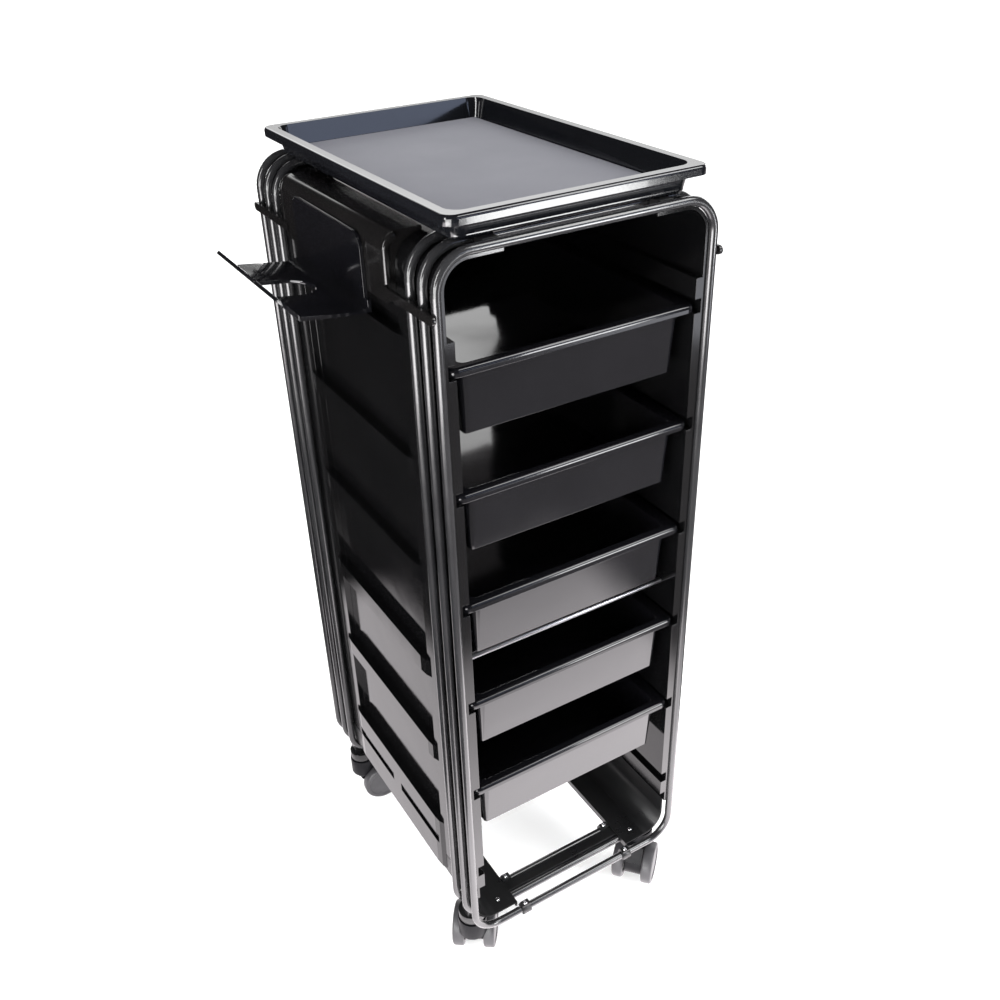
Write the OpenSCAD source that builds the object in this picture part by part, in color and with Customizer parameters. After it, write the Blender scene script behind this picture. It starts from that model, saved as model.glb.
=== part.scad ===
// Rolling salon trolley: six rod loops carry two moulded side panels with drawer
// runners, five drawers, a top tray with a mat, a tool holder and four
// twin-wheel casters. Millimetres. +X is the trolley's right, -Y is the side the
// drawers open on, +Z is up. The origin is on the floor under the frame's centre.

/* [Frame] */
// Height of the tray's rim above the floor
total_h = 867; // [850:1:885]
// Diameter of the frame rod
rod_d = 8; // [7:0.5:9]
// Width of a rod loop, centre to centre
loop_w = 263; // [260:1:270]
// Height of a loop's bottom rod centre
loop_z0 = 81; // [79.5:0.5:83]
// Height of a loop's top rod centre
loop_z1 = 839.5; // [837:0.5:842]
// Bend radius of a loop's corners, at the rod's centre
loop_r = 30; // [26:1:32]
// Distance of the outermost loops from the middle
loop_y = 181.5; // [180:0.5:184]
// Distance from one loop to the next
loop_pitch = 21; // [20:0.5:22]

/* [Drawers] */
// Height of the top runner's floor
slot_z = 739; // [737:1:741]
// Distance from one runner to the next
slot_pitch = 114; // [112:1:115]
// Height of a runner slot
slot_h = 13; // [12:0.5:14]
// Depth of a drawer below its rim
drawer_depth = 57; // [50:1:60]
// Height of a drawer's rim
drawer_rim_h = 7.5; // [7:0.5:9]

/* [Side panels] */
// Inner face of the runner blocks, from the middle
block_x = 117.5; // [116:0.5:118]
// Half depth of a side panel
panel_y = 181; // [179:0.5:182]
// Height of the bottom edge of the outer skirt
skirt_z = 112; // [107:1:117]

/* [Tray] */
// Width of the tray's rim
tray_w = 244; // [241:1:247]
// Depth of the tray's rim
tray_d = 370; // [367:1:373]
// How far the rim overhangs the wall
tray_lip = 7.8; // [7:0.2:9]
// Height of the rim's outer edge
tray_lip_h = 8; // [6:0.5:9]

/* [Casters] */
// Radius of a caster wheel
wheel_r = 25; // [23:1:26]
// Width of a caster wheel
wheel_t = 13; // [11:0.5:14]
// Distance from the swivel axis back to the axle
trail = 18; // [16:1:20]
// Distance of a swivel axis from the middle, across
caster_x = 118; // [115:1:120]
// Distance of a swivel axis from the middle, along
caster_y = 147; // [146:0.5:151]

/* [Hidden] */

black = [0.04, 0.04, 0.045];
gloss_black = [0.06, 0.06, 0.065];
steel = [0.75, 0.75, 0.76];
mat_grey = [0.29, 0.30, 0.33];
caster_grey = [0.20, 0.20, 0.21];

fit_gap = 0.3;                              // between curved faces that only touch
rod_r = rod_d / 2;
loop_x = loop_w / 2;                        // centre of a loop's upright
rod_in = loop_x - rod_r;                    // inner tangent of the uprights
rod_out = loop_x + rod_r;                   // outer tangent of the uprights
bend_x = loop_x - loop_r;                   // bend centres, across
bend_z0 = loop_z0 + loop_r;                 // bend centres of the bottom corners
bend_z1 = loop_z1 - loop_r;                 // bend centres of the top corners
inner_bend = loop_r - rod_r - fit_gap;      // what nests inside a corner
loop_ys = [for (k = [0:2]) loop_y - k * loop_pitch];

// Runner slots, from the top one down. The sixth has no drawer.
slot_count = 6;
slots = [for (i = [0:slot_count - 1]) slot_z - i * slot_pitch];
groove_x = 124.5;                           // outer wall of a runner slot
post_x = rod_in - fit_gap;                  // outer face of the panel where rods pass
bulge_x = 131;                              // outer face between the inner loops
bulge_y = 112;
pocket_x = 120.5;                           // bottom of an outside pocket
pocket_y = 105;
band_wall = 3;                              // wall round a runner slot
block_top = 771;                            // top of the uppermost runner block
block_low = 150;                            // bottom of the lowest runner block
panel_t = 3;
flange_x = 72;                              // inner edge of the panel's top flange

// Tie rods pass between the third and fourth drawers.
tie_z = 442;
tie_y = 157;
tie_r = 3;
screw_r = 2;

// Base
plate_z = loop_z0 + rod_r + fit_gap;        // underside of a base plate
plate_t = 2;
plate_x = 75;                               // inner edge of a base plate
plate_y = 175;
plate_top = 134;                            // top of the plate's upturned side
edge_h = 5;                                 // turned-down edge of a base plate
bar_t = 9.3;
bar_y = (loop_ys[1] + loop_ys[2]) / 2;
bar_w = loop_pitch - rod_d - 2 * fit_gap;

// Tray
tray_z = loop_z1 + rod_r + 0.2;             // underside of the tray
tray_wall = 2.2;
tray_draft = 4.5;                           // how far the tray's wall leans out
rim_roll = 3;                               // radius of the rolled edges
rim_corner = 11;
foot_h = 4;                                 // height of the rolled edge round the tray's underside
tray_x2 = tray_w / 2 - tray_lip;            // outer face of the tray's wall, at the rim
tray_y2 = tray_d / 2 - tray_lip;
tray_floor = tray_z + tray_wall;
mat_t = 2.3;
clip_y0 = 166;                              // inner face of the blocks under the tray
clip_y1 = 178.5;
clip_low = 835.5;

// Caster heights
axle_z = wheel_r;
axle_r = 3;
pin_r = 4;
run_gap = 0.05;                             // radial clearance of a running fit
web_y = 10.5;                               // half width of the hood's web
wheel_y = 11.3;                             // inner face of a wheel
arch_r = wheel_r + 1.3;                     // the hood's arch over a wheel
boss_r = 15;                                // boss under the cross bar
boss_z = loop_z0 - rod_r - 11;
boss_top = loop_z0 - rod_r - 0.5;
collar_t = 1.5;                             // collar of the stem, under the boss
hood_r = 16;
hood_top = boss_z - collar_t - 0.5;
hood_low = 36;
headings = [53, 220, -5, 200];               // which way each caster trails, from +X
corners = [[-1, -1], [1, -1], [-1, 1], [1, 1]];

// ---------- shared shapes ----------

module rounded_rect(x, y, r) {
  square([2 * (x - r), 2 * y], center = true);
  square([2 * x, 2 * (y - r)], center = true);
  for (sx = [-1, 1], sy = [-1, 1])
    translate([sx * (x - r), sy * (y - r)]) circle(r = r, $fn = 64);
}

// A rounded box that narrows from x, y at the top to x - draft, y - draft at the bottom.
module tapered_box(x, y, h, r, draft) {
  cx = x - r;
  cy = y - r;
  rotate([90, 0, 0]) linear_extrude(2 * cy, center = true)
    polygon([[-x + draft, 0], [x - draft, 0], [x, h], [-x, h]]);
  rotate([90, 0, 90]) linear_extrude(2 * cx, center = true)
    polygon([[-y + draft, 0], [y - draft, 0], [y, h], [-y, h]]);
  for (sx = [-1, 1], sy = [-1, 1])
    translate([sx * cx, sy * cy, 0]) cylinder(h = h, r1 = r - draft, r2 = r, $fn = 64);
}

// Slab with plan corners of radius c, whose outer top edge is rolled over to a radius r
module rolled_slab(x, y, h, c, r) {
  linear_extrude(h - r) rounded_rect(x, y, c);
  linear_extrude(h) rounded_rect(x - r, y - r, c - r);
  translate([0, 0, h - r]) {
    for (s = [-1, 1]) {
      translate([s * (x - r), 0, 0]) rotate([90, 0, 0])
        cylinder(h = 2 * (y - c), r = r, center = true, $fn = 64);
      translate([0, s * (y - r), 0]) rotate([0, 90, 0])
        cylinder(h = 2 * (x - c), r = r, center = true, $fn = 64);
    }
    for (k = [[1, 1, 0], [-1, 1, 90], [-1, -1, 180], [1, -1, 270]])
      translate([k[0] * (x - c), k[1] * (y - c), 0]) rotate([0, 0, k[2]])
        rotate_extrude(angle = 90, $fn = 96) translate([c - r, 0]) circle(r = r, $fn = 64);
  }
}

// Draws a profile given in X and Z along the whole of Y between two values.
module along_y(y0, y1) {
  translate([0, y1, 0]) rotate([90, 0, 0]) linear_extrude(y1 - y0) children();
}

// A pan head screw with its head's seat at the origin, pointing down -Z.
module pan_screw(r, head_r, head_h, length) {
  translate([0, 0, -length]) cylinder(h = length, r = r, $fn = 32);
  difference() {
    cylinder(h = head_h, r1 = head_r, r2 = head_r * 0.72, $fn = 48);
    for (a = [0, 90]) rotate([0, 0, a])
      translate([-head_r * 0.5, -0.35, head_h * 0.55]) cube([head_r, 0.7, head_h]);
  }
}

// ---------- frame ----------

module rod_loop(y) {
  color(black) translate([0, y, 0]) rotate([90, 0, 0]) {
    for (c = [[bend_x, bend_z1, 0], [-bend_x, bend_z1, 90],
              [-bend_x, bend_z0, 180], [bend_x, bend_z0, 270]])
      translate([c[0], c[1], 0]) rotate([0, 0, c[2]])
        rotate_extrude(angle = 90, $fn = 128) translate([loop_r, 0]) circle(r = rod_r, $fn = 48);
    for (s = [-1, 1]) translate([s * loop_x, bend_z0, 0])
      rotate([-90, 0, 0]) cylinder(h = bend_z1 - bend_z0, r = rod_r, $fn = 48);
    for (z = [loop_z0, loop_z1]) translate([-bend_x, z, 0])
      rotate([0, 90, 0]) cylinder(h = 2 * bend_x, r = rod_r, $fn = 48);
  }
}

// Quarter sheet round the inside of a corner, from the upright to the horizontal rod.
module bend_profile(t) {
  intersection() {
    difference() {
      circle(r = inner_bend, $fn = 128);
      circle(r = inner_bend - t, $fn = 128);
    }
    square(inner_bend + 1);
  }
}

module base_plate() {
  color(black) difference() {
    union() {
      along_y(-plate_y, plate_y) {
        translate([plate_x, plate_z]) square([bend_x - plate_x, plate_t]);
        translate([bend_x, bend_z0]) mirror([0, 1]) bend_profile(plate_t);
        translate([bend_x + inner_bend - plate_t, bend_z0])
          square([plate_t, plate_top - bend_z0]);
      }
      // Turned-down edge along the open side
      translate([plate_x, -plate_y, plate_z - edge_h]) cube([plate_t, 2 * plate_y, edge_h]);
    }
    for (s = [-1, 1]) {
      translate([plate_x - 1, s * bar_y - bar_w / 2 - 0.2, plate_z - edge_h - 1])
        cube([plate_t + 2, bar_w + 0.4, edge_h + 1]);
      for (y = loop_ys) translate([plate_x - 1, s * y, loop_z0])
        rotate([0, 90, 0]) cylinder(h = plate_t + 2, r = rod_r + fit_gap, $fn = 48);
    }
  }
}

// Bar between the second and third loops, under both plates, with a boss for each caster
module base_crossbar(s) {
  color(black) difference() {
    union() {
      translate([-caster_x - 10, s * bar_y - bar_w / 2, plate_z - bar_t])
        cube([2 * (caster_x + 10), bar_w, bar_t]);
      for (sx = [-1, 1]) translate([sx * caster_x, s * caster_y, boss_z])
        cylinder(h = boss_top - boss_z, r = boss_r, $fn = 96);
    }
    for (sx = [-1, 1]) translate([sx * caster_x, s * caster_y, boss_z - 1])
      cylinder(h = boss_top - boss_z + 0.5, r = pin_r + run_gap, $fn = 48);
  }
}

clip_places = [for (sx = [-1, 1], y = [loop_ys[0], loop_ys[2], -loop_ys[0], -loop_ys[2]])
  [sx * (plate_x - 6.2), y]];

module rod_clips() {
  color(black) for (p = clip_places) translate([p[0], p[1], loop_z0])
    difference() {
      union() {
        rotate([0, 90, 0]) cylinder(h = 10, r = rod_r + 2.3, center = true, $fn = 48);
        translate([-5, -3.5, 0]) cube([10, 7, rod_r + 3.5]);
      }
      rotate([0, 90, 0]) cylinder(h = 12, r = rod_r + 0.1, center = true, $fn = 48);
      translate([0, 0, rod_r - 1]) cylinder(h = 6, r = 1.6, $fn = 32);
      // Open towards the cross bar
      if (abs(p[1]) < bar_y) translate([-6, p[1] > 0 ? 3.5 : -13.5, -10]) cube([12, 10, 20]);
    }
}

module clip_screws() {
  color(steel) for (p = clip_places) translate([p[0], p[1], loop_z0 + rod_r + 3.5])
    pan_screw(1.5, 2.8, 1.6, 2.8);
}

// Low heads on the plates, over the second rod and on the bends between the rods
module plate_screws() {
  color(steel) for (sx = [0, 1], sy = [-1, 1]) mirror([sx, 0, 0]) {
    translate([plate_x + 17, sy * loop_ys[1], plate_z + plate_t])
      cylinder(h = 1.2, r1 = 2.6, r2 = 1.8, $fn = 48);
    translate([bend_x, sy * bar_y, bend_z0]) rotate([0, 120, 0])
      translate([0, 0, inner_bend + 0.02]) cylinder(h = 1.8, r1 = 3.2, r2 = 2.4, $fn = 48);
  }
}

module tie_rod(s) {
  color(steel) translate([-block_x, s * tie_y, tie_z]) rotate([0, 90, 0]) difference() {
    cylinder(h = 2 * block_x, r = tie_r, $fn = 48);
    for (z = [-1, 2 * block_x - 9]) translate([0, 0, z]) cylinder(h = 10, r = screw_r + 0.1, $fn = 32);
  }
}

module tie_rod_screws() {
  color(steel) for (sx = [-1, 1], sy = [-1, 1])
    translate([sx * (post_x - 2.8), sy * tie_y, tie_z]) rotate([0, sx * 90, 0])
      pan_screw(screw_r, 3.6, 2, 14);
}

// ---------- side panels ----------

// Cross-section of the runners and blocks, from the floor side up
module runner_profile() {
  difference() {
    union() {
      translate([block_x, block_low]) square([post_x - block_x, block_top - block_low]);
      translate([post_x - panel_t, plate_top + 1]) square([panel_t, bend_z1 - plate_top - 1]);
    }
    for (z = slots) translate([block_x - 1, z]) square([groove_x - block_x + 1, slot_h]);
  }
  translate([bend_x, bend_z1]) bend_profile(panel_t);
  translate([flange_x, bend_z1 + inner_bend - panel_t]) square([bend_x - flange_x, panel_t]);
}

// Bulged outer band at one runner slot, seen from above
module bulge_plan() {
  step = bulge_x - post_x;
  polygon([[post_x - 1, -bulge_y], [post_x, -bulge_y], [bulge_x - step * 0.25, -bulge_y + step * 1.6],
           [bulge_x, -bulge_y + step * 4], [bulge_x, bulge_y - step * 4],
           [bulge_x - step * 0.25, bulge_y - step * 1.6], [post_x, bulge_y], [post_x - 1, bulge_y]]);
}

module side_panel() {
  color(gloss_black) difference() {
    union() {
      along_y(-panel_y, panel_y) runner_profile();
      for (z = slots) translate([0, 0, z - band_wall])
        linear_extrude(slot_h + 2 * band_wall) bulge_plan();
      translate([0, 0, skirt_z]) linear_extrude(slots[5] - skirt_z) bulge_plan();
    }
    // Outside pockets between the bands
    for (i = [0:slot_count - 2])
      translate([pocket_x, -pocket_y, slots[i + 1] + slot_h + band_wall])
        cube([20, 2 * pocket_y, slot_pitch - slot_h - 2 * band_wall]);
    translate([pocket_x, -pocket_y, slots[0] + slot_h + band_wall])
      cube([20, 2 * pocket_y, block_top - slots[0] - slot_h - 2 * band_wall]);
    // Slits in the skirt
    for (s = [-1, 1]) translate([bulge_x - 7, s * 56 - 46, 147]) cube([20, 92, 11]);
    // The skirt is hollow below the lowest block, and clears the base plate's upturned side
    translate([post_x - 8, -pocket_y, skirt_z - 1]) cube([8.2, 2 * pocket_y, block_low - skirt_z + 1]);
    translate([post_x - 8, -bulge_y - 1, skirt_z - 1])
      cube([8.2, 2 * bulge_y + 2, plate_top + 1 - skirt_z + 1]);
    for (s = [-1, 1]) translate([block_x - 1, s * tie_y, tie_z]) rotate([0, 90, 0]) {
      cylinder(h = 20, r = screw_r + 0.2, $fn = 32);
      translate([0, 0, post_x - block_x + 1 - 2.8]) cylinder(h = 5, r = 4.2, $fn = 48);
    }
  }
}

// ---------- upper side covers ----------

cover_x0 = post_x + 0.1;
cover_x = 137.5;
cover_y = 106;
cover_z = 783;
cover_top = 839;
shoulder_r = 14;
shoulder_x = cover_x - shoulder_r;
shoulder_z = cover_top - shoulder_r;
cover_t = 3;
bar_x0 = rod_out + fit_gap;
bar_x1 = rod_out + 3;
bar_z = 789;
bar_h = 8;
bar_in = cover_y - 8;                       // where a bar leaves the cover's face

// Face, rounded shoulder and flat top, nesting over the panel's bend
module cover_profile() {
  difference() {
    union() {
      translate([cover_x0, cover_z]) square([cover_x - cover_x0, shoulder_z - cover_z]);
      translate([bend_x, cover_z]) square([shoulder_x - bend_x, cover_top - cover_z]);
      translate([shoulder_x, shoulder_z]) circle(r = shoulder_r, $fn = 96);
    }
    translate([bend_x, bend_z1]) circle(r = inner_bend + 0.1, $fn = 128);
    translate([bend_x - 1, 700]) square([cover_x0 - bend_x + 1, bend_z1 - 700]);
  }
}

// Clip bars hook over the three uprights at each end, with a tooth between rods.
module side_cover() {
  color(gloss_black) {
    difference() {
      along_y(-cover_y, cover_y) cover_profile();
      // Hollow behind the face
      translate([cover_x0 - 1, cover_t - cover_y, cover_z + cover_t])
        cube([cover_x - cover_x0 + 1 - cover_t, 2 * (cover_y - cover_t), shoulder_z - cover_z - cover_t]);
    }
    for (s = [-1, 1]) {
      translate([bar_x0, s > 0 ? bar_in : -loop_y - 2, bar_z])
        cube([bar_x1 - bar_x0, loop_y + 2 - bar_in, bar_h]);
      translate([bar_x0, s * (loop_y + 2), bar_z + bar_h / 2]) rotate([0, 90, 0])
        cylinder(h = bar_x1 - bar_x0, r = bar_h / 2, $fn = 48);
      for (k = [0:1])
        translate([bar_x0 - 5.2, s * (loop_ys[k] - loop_pitch / 2) - 2, bar_z]) cube([5.5, 4, bar_h]);
    }
  }
}

// ---------- tool holder ----------

holder_y = 77;
holder_t = 3;
shelf_z = 766;                              // underside of the shelf at its root
shelf_in = 150;                             // where the shelf starts to rise
shelf_out = 200;                            // where the shelf turns up
shelf_rise = 6;
lip_out = 216;
lip_rise = 19;
holder_slot = 44;
holder_plate_y = 71;
holder_plate_top = 830;

module holder_profile() {
  x0 = cover_x + fit_gap;
  edge = shelf_z + shelf_rise;
  polygon([[x0, shelf_z], [shelf_in, shelf_z], [shelf_out, edge], [lip_out, edge + lip_rise],
           [lip_out - holder_t, edge + lip_rise + 1.5], [shelf_out - 1.5, edge + holder_t + 0.5],
           [shelf_in, shelf_z + holder_t], [x0 + holder_t, shelf_z + holder_t + 2],
           [x0 + holder_t, shelf_z + 11], [x0, shelf_z + 11]]);
}

module tool_holder() {
  plate_mid = (shelf_z + holder_plate_top) / 2;
  color(gloss_black) mirror([1, 0, 0]) difference() {
    union() {
      intersection() {
        along_y(-holder_y, holder_y) holder_profile();
        // Rounded outer corners of the shelf
        translate([0, 0, shelf_z - 1]) linear_extrude(60) union() {
          translate([130, -holder_y]) square([70, 2 * holder_y]);
          translate([190, 0]) rounded_rect(28, holder_y - 2, 10);
        }
      }
      // Mounting plate on the cover's face
      translate([cover_x + fit_gap, 0, plate_mid]) rotate([90, 0, 90]) linear_extrude(holder_t)
        rounded_rect(holder_plate_y, holder_plate_top - plate_mid, 12);
    }
    // The slot for the tool's barrel
    translate([156 + holder_slot / 2, 0, shelf_z - 1]) cylinder(h = 60, r = holder_slot / 2, $fn = 96);
    translate([156 + holder_slot / 2, -holder_slot / 2, shelf_z - 1]) cube([60, holder_slot, 60]);
  }
}

// ---------- tray ----------

module tray() {
  x = tray_w / 2;
  y = tray_d / 2;
  h = total_h - tray_z;
  lip_in = tray_lip_h - tray_wall;
  color(gloss_black) translate([0, 0, tray_z]) difference() {
    union() {
      mirror([0, 0, 1]) translate([0, 0, -foot_h])
        rolled_slab(tray_x2 - tray_draft, tray_y2 - tray_draft, foot_h, rim_corner, rim_roll);
      translate([0, 0, foot_h])
        tapered_box(tray_x2, tray_y2, h - foot_h - tray_wall, rim_corner + tray_draft, tray_draft);
      difference() {
        translate([0, 0, h - tray_lip_h]) rolled_slab(x, y, tray_lip_h, rim_corner, rim_roll);
        // The rim is open underneath
        translate([0, 0, h - tray_lip_h - 1]) linear_extrude(lip_in + 1)
          rounded_rect(x - tray_wall, y - tray_wall, rim_corner - tray_wall);
      }
    }
    translate([0, 0, tray_wall])
      tapered_box(tray_x2 - tray_wall, tray_y2 - tray_wall, h,
                  rim_corner + tray_draft - tray_wall, tray_draft);
  }
}

module tray_mat() {
  mat_in = tray_wall + tray_draft + 3;
  color(mat_grey) translate([0, 0, tray_floor]) linear_extrude(mat_t)
    rounded_rect(tray_x2 - mat_in, tray_y2 - mat_in, 3);
}

// Blocks under the tray's front and back edges that snap behind the outermost rods
module tray_clips() {
  color(gloss_black) for (s = [-1, 1], x = [-82, 82]) translate([x - 7, 0, 0]) difference() {
    translate([0, s > 0 ? clip_y0 : -clip_y1, clip_low])
      cube([14, clip_y1 - clip_y0, tray_z - clip_low]);
    translate([-1, s * loop_y, loop_z1]) rotate([0, 90, 0])
      cylinder(h = 16, r = rod_r + 0.1, $fn = 48);
  }
}

// ---------- drawers ----------

drawer_x = 110;                             // outer face of a drawer's wall, at the rim
drawer_y = 171.5;
drawer_corner = 8;
drawer_roll = 3.5;
rim_x = 123;
rim_y = 178.5;
wall = 2.2;
draft = 4.5;

module drawer(i) {
  z = slots[i];
  depth = drawer_depth;
  color(gloss_black) translate([0, 0, z]) difference() {
    union() {
      translate([0, 0, -depth]) tapered_box(drawer_x, drawer_y, depth, drawer_corner, draft);
      rolled_slab(rim_x, rim_y, drawer_rim_h, 10, drawer_roll);
    }
    translate([0, 0, wall - depth])
      tapered_box(drawer_x - wall, drawer_y - wall, depth + drawer_rim_h, drawer_corner - wall, draft);
    // The rim is open underneath
    translate([0, 0, -0.01]) linear_extrude(drawer_rim_h - wall) difference() {
      rounded_rect(rim_x - wall, rim_y - wall, 10 - wall);
      rounded_rect(drawer_x, drawer_y, drawer_corner);
    }
  }
}

// ---------- casters ----------

// Puts a caster's own frame, with +X trailing, at its corner
module at_caster(k) {
  translate([corners[k][0] * caster_x, corners[k][1] * caster_y, 0])
    rotate([0, 0, headings[k]]) children();
}

module caster_stem(k) {
  color(steel) at_caster(k) {
    translate([0, 0, hood_low + 8]) cylinder(h = boss_z - hood_low - 8, r = pin_r, $fn = 48);
    translate([0, 0, boss_z - collar_t]) cylinder(h = collar_t, r = 7, $fn = 48);
    translate([0, 0, boss_z]) cylinder(h = boss_top - boss_z - 1, r = pin_r, $fn = 48);
  }
}

// The web between the wheels, seen from the side
module web_profile() {
  translate([trail, axle_z]) circle(r = 17, $fn = 96);
  polygon([[-8, hood_low - 2], [6, 14], [trail, 10], [trail + 15, 34], [trail + 4, 50], [0, 54], [-8, 50]]);
}

module caster_hood(k) {
  color(caster_grey) at_caster(k) difference() {
    union() {
      along_y(-web_y, web_y) web_profile();
      translate([0, 0, hood_low + 5]) cylinder(h = hood_top - hood_low - 5, r = hood_r, $fn = 128);
      translate([0, 0, hood_low - 2]) cylinder(h = 7, r1 = hood_r - 5, r2 = hood_r, $fn = 128);
    }
    translate([0, 0, hood_low + 7]) cylinder(h = 60, r = pin_r + run_gap, $fn = 48);
    translate([trail, 30, axle_z]) rotate([90, 0, 0]) cylinder(h = 60, r = axle_r + 0.02, $fn = 48);
    // Wheel arches
    for (s = [-1, 1]) translate([trail, s * (web_y + 10), axle_z]) rotate([90, 0, 0])
      cylinder(h = 20, r = arch_r, center = true, $fn = 128);
  }
}

module caster_axle(k) {
  color(steel) at_caster(k) translate([trail, 0, axle_z]) rotate([90, 0, 0])
    cylinder(h = 2 * (wheel_y + wheel_t - 3.2), r = axle_r, center = true, $fn = 48);
}

// A wheel's half section: radius across, width up from its inner face
module wheel_section() {
  b = axle_r + run_gap;
  polygon([[b, 0], [8, 0], [8, 2], [wheel_r - 6, 2], [wheel_r - 6, 0], [wheel_r - 2.5, 0],
           [wheel_r - 0.7, 0.8], [wheel_r, 2.6], [wheel_r, wheel_t - 2.6], [wheel_r - 0.7, wheel_t - 0.8],
           [wheel_r - 2.5, wheel_t], [wheel_r - 5, wheel_t], [wheel_r - 6, wheel_t - 1.2],
           [6, wheel_t - 0.4], [0, wheel_t - 0.4], [0, wheel_t - 3], [b, wheel_t - 3]]);
}

module caster_wheel(k, s) {
  color(caster_grey) at_caster(k) translate([trail, s * wheel_y, axle_z]) rotate([90, 0, 0])
    mirror([0, 0, s > 0 ? 1 : 0]) rotate_extrude($fn = 128) wheel_section();
}

// ---------- nodes ----------

// Puts the origin under the middle of the whole, the tool holder included
module placed() {
  translate([(lip_out - bar_x1) / 2, 0, 0]) children();
}

placed() rod_loop(-loop_ys[0]);  // frame_loop_1
placed() rod_loop(-loop_ys[1]);  // frame_loop_2
placed() rod_loop(-loop_ys[2]);  // frame_loop_3
placed() rod_loop(loop_ys[2]);  // frame_loop_4
placed() rod_loop(loop_ys[1]);  // frame_loop_5
placed() rod_loop(loop_ys[0]);  // frame_loop_6
placed() mirror([1, 0, 0]) base_plate();  // base_plate_left
placed() base_plate();  // base_plate_right
placed() base_crossbar(-1);  // base_crossbar_front
placed() base_crossbar(1);  // base_crossbar_back
placed() rod_clips();
placed() clip_screws();
placed() plate_screws();
placed() tie_rod(-1);  // tie_rod_front
placed() tie_rod(1);  // tie_rod_back
placed() tie_rod_screws();
placed() mirror([1, 0, 0]) side_panel();  // side_panel_left
placed() side_panel();  // side_panel_right
placed() mirror([1, 0, 0]) side_cover();  // side_cover_left
placed() side_cover();  // side_cover_right
placed() tool_holder();
placed() tray();
placed() tray_mat();
placed() tray_clips();
placed() drawer(0);  // drawer_1
placed() drawer(1);  // drawer_2
placed() drawer(2);  // drawer_3
placed() drawer(3);  // drawer_4
placed() drawer(4);  // drawer_5
placed() caster_stem(0);  // caster_1_stem
placed() caster_hood(0);  // caster_1_hood
placed() caster_axle(0);  // caster_1_axle
placed() caster_wheel(0, -1);  // caster_1_wheel_a
placed() caster_wheel(0, 1);  // caster_1_wheel_b
placed() caster_stem(1);  // caster_2_stem
placed() caster_hood(1);  // caster_2_hood
placed() caster_axle(1);  // caster_2_axle
placed() caster_wheel(1, -1);  // caster_2_wheel_a
placed() caster_wheel(1, 1);  // caster_2_wheel_b
placed() caster_stem(2);  // caster_3_stem
placed() caster_hood(2);  // caster_3_hood
placed() caster_axle(2);  // caster_3_axle
placed() caster_wheel(2, -1);  // caster_3_wheel_a
placed() caster_wheel(2, 1);  // caster_3_wheel_b
placed() caster_stem(3);  // caster_4_stem
placed() caster_hood(3);  // caster_4_hood
placed() caster_axle(3);  // caster_4_axle
placed() caster_wheel(3, -1);  // caster_4_wheel_a
placed() caster_wheel(3, 1);  // caster_4_wheel_b
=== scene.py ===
import math

import bpy
from mathutils import Matrix, Vector


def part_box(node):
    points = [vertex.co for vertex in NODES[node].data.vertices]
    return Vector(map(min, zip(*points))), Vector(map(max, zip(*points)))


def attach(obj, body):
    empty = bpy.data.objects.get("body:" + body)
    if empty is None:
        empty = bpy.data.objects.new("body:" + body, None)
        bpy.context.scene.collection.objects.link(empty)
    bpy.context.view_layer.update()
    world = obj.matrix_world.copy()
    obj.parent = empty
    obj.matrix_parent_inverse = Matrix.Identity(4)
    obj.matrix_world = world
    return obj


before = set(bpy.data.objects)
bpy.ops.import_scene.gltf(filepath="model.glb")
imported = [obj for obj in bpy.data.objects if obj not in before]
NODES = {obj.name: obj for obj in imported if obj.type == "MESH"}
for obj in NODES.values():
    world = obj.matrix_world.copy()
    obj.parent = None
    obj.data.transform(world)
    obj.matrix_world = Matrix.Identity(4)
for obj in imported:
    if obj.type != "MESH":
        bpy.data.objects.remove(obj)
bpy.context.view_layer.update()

scene = bpy.context.scene

# ---------------------------------------------------------------- camera
CENTRE_X = 0.03875                              # the rod frame's centre line, in the shared frame
CAM_POS = (CENTRE_X - 0.4621, -0.8337, 1.0844)
CAM_RIGHT = Vector((0.85510, -0.51763, -0.02942))
CAM_BACK = Vector((-0.42761, -0.73619, 0.52458))
CAM_LENS = 37.89


def make_camera():
    data = bpy.data.cameras.new("camera")
    data.lens = CAM_LENS
    data.sensor_width = 36.0
    data.clip_start = 0.01
    data.clip_end = 100.0
    cam = bpy.data.objects.new("camera", data)
    scene.collection.objects.link(cam)
    right, back = CAM_RIGHT.normalized(), CAM_BACK.normalized()
    up = back.cross(right).normalized()
    right = up.cross(back).normalized()
    m = Matrix((right, up, back)).transposed().to_4x4()
    m.translation = Vector(CAM_POS)
    cam.matrix_world = m
    scene.camera = cam


make_camera()

# ---------------------------------------------------------------- materials
PLASTIC_IOR = 1.5


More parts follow.
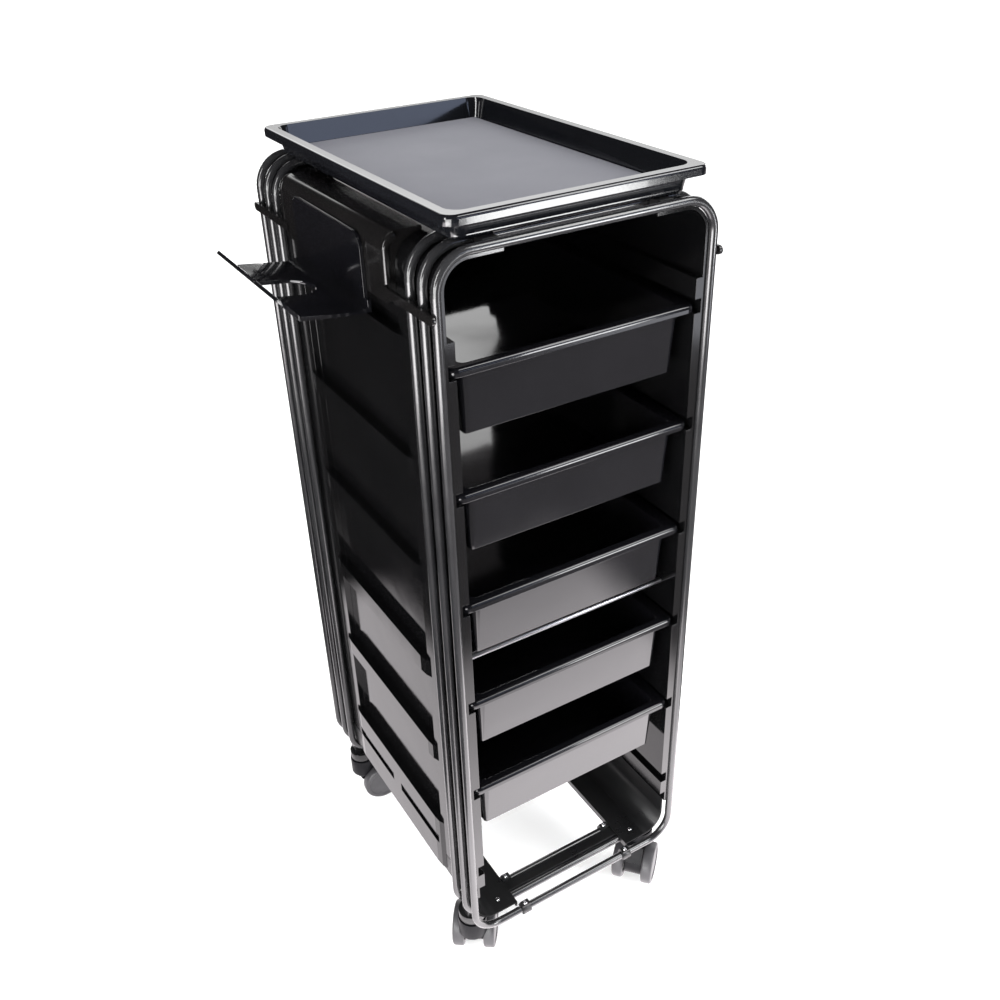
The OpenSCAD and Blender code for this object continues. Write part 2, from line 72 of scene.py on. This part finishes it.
class Mat:
    """A small helper that adds shader nodes to one material."""

    def __init__(self, name):
        self.mat = bpy.data.materials.new(name)
        self.mat.use_nodes = True
        self.tree = self.mat.node_tree
        self.bsdf = self.tree.nodes["Principled BSDF"]
        self.out = self.tree.nodes["Material Output"]
        self.coord = self.add("ShaderNodeTexCoord").outputs["Object"]

    def add(self, kind, inputs=None, **props):
        node = self.tree.nodes.new(kind)
        for key, value in props.items():
            setattr(node, key, value)
        for key, value in (inputs or {}).items():
            self.put(node.inputs[key], value)
        return node

    def put(self, socket, value):
        if isinstance(value, bpy.types.NodeSocket):
            self.tree.links.new(value, socket)
        else:
            socket.default_value = value

    def set(self, **values):
        for key, value in values.items():
            self.put(self.bsdf.inputs[key.replace("_", " ")], value)

    def scaled(self, sx, sy, sz):
        node = self.add("ShaderNodeMapping", {"Vector": self.coord, "Scale": (sx, sy, sz)})
        return node.outputs["Vector"]

    def noise(self, scale, detail=3.0, rough=0.55, vector=None, distortion=0.0):
        node = self.add("ShaderNodeTexNoise", {
            "Vector": vector if vector is not None else self.coord,
            "Scale": scale, "Detail": detail, "Roughness": rough, "Distortion": distortion})
        return node.outputs["Fac"]

    def voronoi(self, scale):
        return self.add("ShaderNodeTexVoronoi", {"Vector": self.coord, "Scale": scale}).outputs["Distance"]

    def span(self, value, a, b, lo, hi):
        """Maps value from the range a..b to lo..hi, clamped."""
        node = self.add("ShaderNodeMapRange", {"Value": value, "From Min": a, "From Max": b,
                                               "To Min": lo, "To Max": hi})
        return node.outputs["Result"]

    def math(self, op, a, b=None, clamp=False):
        node = self.add("ShaderNodeMath", operation=op, use_clamp=clamp)
        self.put(node.inputs[0], a)
        if b is not None:
            self.put(node.inputs[1], b)
        return node.outputs[0]

    def colours(self, value, dark, light):
        node = self.add("ShaderNodeMix", data_type="RGBA")
        self.put(node.inputs[0], value)
        self.put(node.inputs[6], (*dark, 1))
        self.put(node.inputs[7], (*light, 1))
        return node.outputs[2]

    def bumps(self, *layers):
        """layers are (height, strength, distance in metres), one over the other."""
        normal = None
        for height, strength, distance in layers:
            node = self.add("ShaderNodeBump", {"Height": height, "Strength": strength,
                                               "Distance": distance})
            if normal is not None:
                self.put(node.inputs["Normal"], normal)
            normal = node.outputs["Normal"]
        self.put(self.bsdf.inputs["Normal"], normal)


def gloss_plastic(name, dark, light, rough, coat=0.0):
    """Moulded gloss plastic: slow waviness, faint flow marks, dust and hairline scratches."""
    m = Mat(name)
    tone = m.noise(9.0, 4.0, 0.6)
    m.set(Base_Color=m.colours(m.span(tone, 0.3, 0.7, 0, 1), dark, light), IOR=PLASTIC_IOR)
    haze = m.noise(6.0, 5.0, 0.65)
    fine = m.noise(420.0, 2.0, 0.6)
    scratch = m.noise(30.0, 6.0, 0.7, m.scaled(1.0, 22.0, 9.0), 0.4)
    r = m.math("ADD", m.span(haze, 0.3, 0.75, rough - 0.05, rough + 0.05),
               m.span(fine, 0.55, 0.8, 0.0, 0.05))
    r = m.math("ADD", r, m.span(scratch, 0.62, 0.72, 0.0, 0.04), clamp=True)
    m.set(Roughness=r)
    if coat:
        m.set(Coat_Weight=coat, Coat_Roughness=0.03)
    m.bumps((m.noise(11.0, 2.0, 0.5), 0.35, 0.0012), (m.noise(900.0, 2.0, 0.5), 0.05, 0.0002))
    return m.mat


def coated_metal(name, dark, light, rough, peel=0.12, coat=0.0):
    """Powder-coated steel: orange peel, small gloss changes, a few dull specks."""
    m = Mat(name)
    tone = m.noise(14.0, 4.0, 0.6)
    speck = m.voronoi(160.0)
    m.set(Base_Color=m.colours(m.span(tone, 0.3, 0.7, 0, 1), dark, light), IOR=1.55)
    r = m.math("ADD", m.span(m.noise(22.0, 4.0, 0.6), 0.3, 0.7, rough - 0.05, rough + 0.06),
               m.span(speck, 0.0, 0.08, 0.12, 0.0), clamp=True)
    m.set(Roughness=r)
    if coat:
        m.set(Coat_Weight=coat, Coat_Roughness=0.06)
    m.bumps((m.noise(330.0, 3.0, 0.5), peel, 0.0003), (m.noise(25.0, 2.0, 0.5), 0.15, 0.0006))
    return m.mat


def satin_plastic(name, dark, light, rough, shine=0.5):
    """Moulded nylon: fine spark grain, scuffs and slightly uneven colour."""
    m = Mat(name)
    tone = m.noise(60.0, 5.0, 0.65)
    m.set(Base_Color=m.colours(m.span(tone, 0.25, 0.75, 0, 1), dark, light), IOR=PLASTIC_IOR,
          Specular_IOR_Level=shine)
    scuff = m.noise(45.0, 6.0, 0.75, m.scaled(1.0, 1.0, 4.0), 0.3)
    m.set(Roughness=m.span(scuff, 0.35, 0.7, rough - 0.06, rough + 0.12))
    m.bumps((m.noise(1500.0, 2.0, 0.6), 0.25, 0.00012), (m.noise(130.0, 3.0, 0.5), 0.1, 0.0002))
    return m.mat


def bright_steel(name, colour, rough):
    """Zinc-plated or polished steel: drawn lines along X and soft clouding."""
    m = Mat(name)
    drawn = m.noise(240.0, 4.0, 0.6, m.scaled(0.06, 1.0, 1.0))
    m.set(Base_Color=m.colours(m.span(m.noise(40.0, 3.0), 0.3, 0.7, 0, 1),
                               [c * 0.82 for c in colour], colour), Metallic=1.0)
    m.set(Roughness=m.span(drawn, 0.3, 0.7, rough - 0.06, rough + 0.1))
    m.bumps((drawn, 0.08, 0.0002))
    return m.mat


def rubber_mat(name):
    """Foam rubber sheet: close matt stipple, faint cloudiness, lint and wipe marks."""
    m = Mat(name)
    cloud = m.noise(7.0, 5.0, 0.6)
    stipple = m.noise(1400.0, 2.0, 0.6)
    lint = m.noise(300.0, 6.0, 0.8, m.scaled(1.0, 0.25, 1.0), 0.6)
    tone = m.math("ADD", m.span(cloud, 0.3, 0.7, 0.15, 0.7),
                  m.math("ADD", m.span(stipple, 0.3, 0.7, -0.12, 0.12),
                         m.span(lint, 0.66, 0.8, 0.0, 0.25)), clamp=True)
    m.set(Base_Color=m.colours(tone, (0.091, 0.092, 0.108), (0.110, 0.111, 0.128)), IOR=PLASTIC_IOR,
          Sheen_Weight=0.15, Sheen_Roughness=0.4, Specular_IOR_Level=0.25)
    m.set(Roughness=m.span(m.noise(12.0, 4.0), 0.3, 0.7, 0.62, 0.75))
    m.bumps((stipple, 0.35, 0.00025), (m.voronoi(700.0), 0.12, 0.0002), (cloud, 0.1, 0.0008))
    return m.mat


PANEL = gloss_plastic("panel_gloss", (0.0016, 0.0016, 0.0018), (0.003, 0.003, 0.0032), 0.10)
COVER = gloss_plastic("cover_gloss", (0.0035, 0.0033, 0.0034), (0.006, 0.0056, 0.0056), 0.13)
HOLDER = gloss_plastic("holder_gloss", (0.002, 0.002, 0.0028), (0.004, 0.004, 0.005), 0.08)
TRAY = gloss_plastic("tray_gloss", (0.003, 0.0032, 0.0042), (0.0055, 0.006, 0.0075), 0.12, coat=0.3)
DRAWER = gloss_plastic("drawer_gloss", (0.0030, 0.0030, 0.0038), (0.0050, 0.0049, 0.0060), 0.09)
ROD = coated_metal("rod_black", (0.010, 0.010, 0.011), (0.017, 0.017, 0.018), 0.20, coat=0.4)
BASE = coated_metal("base_black", (0.005, 0.005, 0.0055), (0.009, 0.009, 0.0095), 0.30, peel=0.2)
CLIP = satin_plastic("clip_black", (0.008, 0.008, 0.0085), (0.014, 0.014, 0.0145), 0.35)
HOOD = satin_plastic("caster_hood", (0.004, 0.004, 0.005), (0.008, 0.008, 0.0095), 0.36, shine=0.12)
WHEEL = satin_plastic("caster_wheel", (0.034, 0.033, 0.036), (0.050, 0.049, 0.052), 0.38, shine=0.4)
STEEL = bright_steel("caster_steel", (0.62, 0.62, 0.63), 0.28)
SCREW = bright_steel("screw_steel", (0.78, 0.78, 0.80), 0.22)
TIE = bright_steel("tie_steel", (0.40, 0.40, 0.42), 0.32)
RUBBER = rubber_mat("mat_grey")

# node name prefix: (material, bevel width in mm, bevel segments)
LOOKS = [
    ("frame_loop", ROD, 0, 0),
    ("base_plate", BASE, 0.35, 2),
    ("base_crossbar", BASE, 0.8, 3),
    ("rod_clips", CLIP, 0.4, 2),
    ("clip_screws", SCREW, 0.15, 2),
    ("plate_screws", SCREW, 0.3, 2),
    ("tie_rod_screws", SCREW, 0.15, 2),
    ("tie_rod", TIE, 0.3, 2),
    ("side_panel", PANEL, 0.5, 3),
    ("side_cover", COVER, 2.2, 4),
    ("tool_holder", HOLDER, 1.3, 3),
    ("tray_clips", CLIP, 0.4, 2),
    ("tray_mat", RUBBER, 0.5, 2),
    ("tray", TRAY, 1.4, 4),
    ("drawer", DRAWER, 0.9, 4),
    ("_stem", STEEL, 0.3, 2),
    ("_axle", STEEL, 0.3, 2),
    ("_hood", HOOD, 1.2, 3),
    ("_wheel", WHEEL, 0.5, 2),
]
BEVEL_ANGLE = math.radians(32)                  # edges sharper than this are rounded
FLAT_ANGLE = math.radians(0.4)                  # faces closer than this are merged before the bevel
WELD_GAP = 1e-6
NOT_MERGED = (TRAY, RUBBER)                     # the tray's rings of faces have to stay cut up


def dress(obj, material, width_mm, segments):
    """Gives a CAD node its material and rounds its sharp edges."""
    obj.data.materials.clear()
    obj.data.materials.append(material)
    if not width_mm:
        return
    weld = obj.modifiers.new("weld", "WELD")
    weld.merge_threshold = WELD_GAP
    if material not in NOT_MERGED:
        flat = obj.modifiers.new("flat", "DECIMATE")
        flat.decimate_type = "DISSOLVE"
        flat.angle_limit = FLAT_ANGLE
    bevel = obj.modifiers.new("bevel", "BEVEL")
    bevel.width = width_mm / 1000
    bevel.segments = segments
    bevel.limit_method = "ANGLE"
    bevel.angle_limit = BEVEL_ANGLE
    bevel.use_clamp_overlap = True
    bevel.harden_normals = True


for name, obj in NODES.items():
    for key, material, width_mm, segments in LOOKS:
        if name.startswith(key) or (key[0] == "_" and key in name):
            dress(obj, material, width_mm, segments)
            break

# ---------------------------------------------------------------- edge beads of the covers
COVER_OUT = 0.1385                              # outermost face of a cover, from the centre line
COVER_END = 0.106                               # half length of a cover
BEAD_R = 0.003
SHOULDER_R = 0.011                              # bend of the bead's line over the cover's shoulder
BEAD_LOW = 0.016                                # how far the beads start above the covers' lower edge
BEAD_LEAD = 0.012                               # last straight stretch below the bend
BEND_ANGLE = math.radians(80)
BEND_STEPS = 12


def edge_bead(name, cover, side, end):
    """A rolled bead down one upright edge of a cover, bent over its shoulder at the top."""
    low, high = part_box(cover)
    face_x = CENTRE_X + side * (COVER_OUT - BEAD_R)
    y = end * (COVER_END + BEAD_R / 3)
    bend_x, bend_z = face_x - side * SHOULDER_R, high[2] - BEAD_R - SHOULDER_R
    points = [(face_x, y, low[2] + BEAD_LOW), (face_x, y, bend_z - BEAD_LEAD)]
    for k in range(BEND_STEPS + 1):
        a = BEND_ANGLE * k / BEND_STEPS
        points.append((bend_x + side * SHOULDER_R * math.cos(a), y, bend_z + SHOULDER_R * math.sin(a)))
    curve = bpy.data.curves.new(name, "CURVE")
    curve.dimensions = "3D"
    curve.bevel_depth = BEAD_R
    curve.bevel_resolution = 8
    curve.use_fill_caps = True
    line = curve.splines.new("POLY")
    line.points.add(len(points) - 1)
    for point, place in zip(line.points, points):
        point.co = (*place, 1.0)
    obj = bpy.data.objects.new(name, curve)
    scene.collection.objects.link(obj)
    curve.materials.append(COVER)
    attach(obj, "frame")


for cover, side in [("side_cover_left", -1), ("side_cover_right", 1)]:
    for end, where in [(-1, "front"), (1, "back")]:
        edge_bead(f"{cover}_bead_{where}", cover, side, end)

# ---------------------------------------------------------------- stage
FLOOR_SIZE = 30.0
FLOOR_Z, PAPER_Z = -0.0005, -0.0002             # the paper lies just over the floor
ROOM_RADIUS, ROOM_Z = 6.0, 0.6


def flat_card(name, z):
    mesh = bpy.data.meshes.new(name)
    a = FLOOR_SIZE / 2
    mesh.from_pydata([(-a, -a, 0), (a, -a, 0), (a, a, 0), (-a, a, 0)], [], [(0, 1, 2, 3)])
    obj = bpy.data.objects.new(name, mesh)
    obj.location = (CENTRE_X, 0, z)
    scene.collection.objects.link(obj)
    return obj


def only_reflected(obj):
    """The object shows in reflections and nowhere else."""
    obj.visible_camera = False
    obj.visible_diffuse = False
    obj.visible_shadow = False
    obj.visible_transmission = False
    obj.visible_volume_scatter = False


def floor_material():
    m = Mat("floor_white")
    m.set(Base_Color=m.colours(m.noise(2.0, 3.0), (0.91, 0.91, 0.91), (0.93, 0.93, 0.93)),
          Roughness=0.9, Specular_IOR_Level=0.0, Emission_Color=(1, 1, 1, 1), Emission_Strength=0.22)
    return m.mat


def emitter(name, build, colour=(1, 1, 1)):
    """An emission material whose strength comes from build(mat)."""
    m = Mat(name)
    light = m.add("ShaderNodeEmission", {"Color": (*colour, 1)})
    m.put(light.inputs["Strength"], build(m))
    m.tree.links.new(light.outputs[0], m.out.inputs["Surface"])
    return m.mat


def step(m, value, edge, width):
    """0 below the edge and 1 above it, with a soft change of the given width."""
    return m.add("ShaderNodeMapRange", {"Value": value, "From Min": edge - width / 2,
                                        "From Max": edge + width / 2},
                 interpolation_type="SMOOTHSTEP").outputs["Result"]


def window(m, value, rise=None, fall=None):
    """1 between a rising and a falling edge, each given as (edge, width); either may be left out."""
    up = step(m, value, *rise) if rise else None
    down = m.math("SUBTRACT", 1.0, step(m, value, *fall)) if fall else None
    if up is None or down is None:
        return down if up is None else up
    return m.math("MULTIPLY", up, down)


def product(m, first, *others):
    for value in others:
        first = m.math("MULTIPLY", first, value)
    return first


# Patches of paper beside the white sheet: strength, then rise and fall along X, then along Y
PATCHES = [
    (0.36, None, (1.3, 0.5), (-2.2, 0.6), (-0.45, 0.2)),           # in front
    (1.2, (-0.22, 0.12), None, (0.85, 0.4), None),                 # behind
    (6.0, (-2.5, 0.3), (-1.35, 0.3), (-1.9, 0.3), (0.1, 0.3)),     # far left, for the rods' highlights
]
SHEET_BACK = 1.4                                # strength of the sheet's back part
PAPER_REST = 0.02                               # strength everywhere else
ROOM_REST = 0.03


def paper_strength(m):
    """White paper on a dark floor: brighter towards the light in front."""
    xyz = m.add("ShaderNodeSeparateXYZ", {"Vector": m.coord})
    x, y = xyz.outputs["X"], xyz.outputs["Y"]
    sheet = product(m, window(m, x, (-0.350, 0.05), (0.39, 0.10)), window(m, y, (-0.66, 0.14), (0.57, 0.10)))
    side = window(m, y, fall=(-0.20, 0.30))
    level = m.math("ADD", product(m, m.span(y, -0.60, -0.32, 2.6, 5.4), side),
                   product(m, m.math("SUBTRACT", 1.0, side), SHEET_BACK))
    total = product(m, sheet, level)
    for strength, x_rise, x_fall, y_rise, y_fall in PATCHES:
        patch = product(m, window(m, x, x_rise, x_fall), window(m, y, y_rise, y_fall), strength)
        total = m.math("ADD", total, patch)
    right = product(m, window(m, x, (0.55, 0.16)), m.span(x, 0.6, 3.0, 1.3, 0.35),
                    window(m, y, (-0.35, 0.3), (0.85, 0.4)))
    return m.math("ADD", m.math("ADD", total, right), PAPER_REST)


def room_strength(m):
    """A dark room with a pale backdrop low down behind the trolley."""
    d = m.add("ShaderNodeVectorMath", {0: m.coord}, operation="NORMALIZE").outputs["Vector"]
    xyz = m.add("ShaderNodeSeparateXYZ", {"Vector": d})
    x, y, z = xyz.outputs["X"], xyz.outputs["Y"], xyz.outputs["Z"]
    rise = m.math("ADD", m.span(z, 0.18, 0.26, 0.4, 1.5), m.span(z, 0.28, 0.38, 0.0, 1.5))
    back = product(m, window(m, y, (0.35, 0.5)), window(m, x, (0.02, 0.16)),
                   window(m, z, fall=(0.55, 0.15)), rise)
    return m.math("ADD", back, ROOM_REST)


floor = flat_card("floor", FLOOR_Z)
floor.data.materials.append(floor_material())
paper = flat_card("paper_card", PAPER_Z)
paper.data.materials.append(emitter("paper_light", paper_strength, (1.0, 0.950, 0.975)))
only_reflected(paper)

bpy.ops.mesh.primitive_uv_sphere_add(segments=48, ring_count=24, radius=ROOM_RADIUS,
                                     location=(CENTRE_X, 0, ROOM_Z))
room = bpy.context.object
room.name = "room"
room.data.materials.append(emitter("room_light", room_strength))
only_reflected(room)


def softbox(name, location, size_x, size_y, radiance, target=(0, 0, 0.45), colour=(1, 1, 1),
            glossy=True, diffuse=True):
    """An area light; its place and target are given from the rod frame's centre line."""
    data = bpy.data.lights.new(name, "AREA")
    data.shape = "RECTANGLE"
    data.size, data.size_y = size_x, size_y
    data.energy = radiance * math.pi * size_x * size_y
    data.color = colour
    obj = bpy.data.objects.new(name, data)
    scene.collection.objects.link(obj)
    centre = Vector((CENTRE_X, 0, 0))
    obj.location = Vector(location) + centre
    obj.rotation_euler = (Vector(target) + centre - obj.location).to_track_quat("-Z", "Y").to_euler()
    obj.visible_camera = False
    obj.visible_glossy = glossy
    obj.visible_diffuse = diffuse


softbox("key_right", (0.82, -1.45, 0.60), 0.40, 0.60, 18.0)
softbox("glow_front", (0.80, -1.70, 1.15), 1.0, 0.35, 2.4, colour=(0.62, 0.72, 1.0))
softbox("glow_low", (0.95, -1.55, 0.16), 0.9, 0.26, 3.0, colour=(0.9, 0.92, 1.0))
softbox("fill_left", (-1.15, -0.95, 0.45), 1.1, 0.8, 9.0)
softbox("overhead", (1.05, -0.98, 2.15), 1.0, 1.0, 8.0, target=(0, -0.18, 0.8))
softbox("strip_left", (-2.1, -0.55, 1.3), 0.35, 1.6, 16.0)
softbox("top", (0.2, 0.3, 2.6), 1.4, 1.4, 3.0, glossy=False)
softbox("sheen_right", (1.9, 0.5, 0.85), 0.9, 0.7, 5.0, diffuse=False)
softbox("sheen_back", (0.4, 1.9, 0.55), 1.2, 0.5, 6.0, diffuse=False)

world = bpy.data.worlds.new("world")
scene.world = world
world.use_nodes = True
backdrop = world.node_tree.nodes["Background"]
backdrop.inputs["Color"].default_value = (1, 1, 1, 1)
backdrop.inputs["Strength"].default_value = 1.25

scene.view_settings.view_transform = "Standard"
scene.view_settings.look = "None"
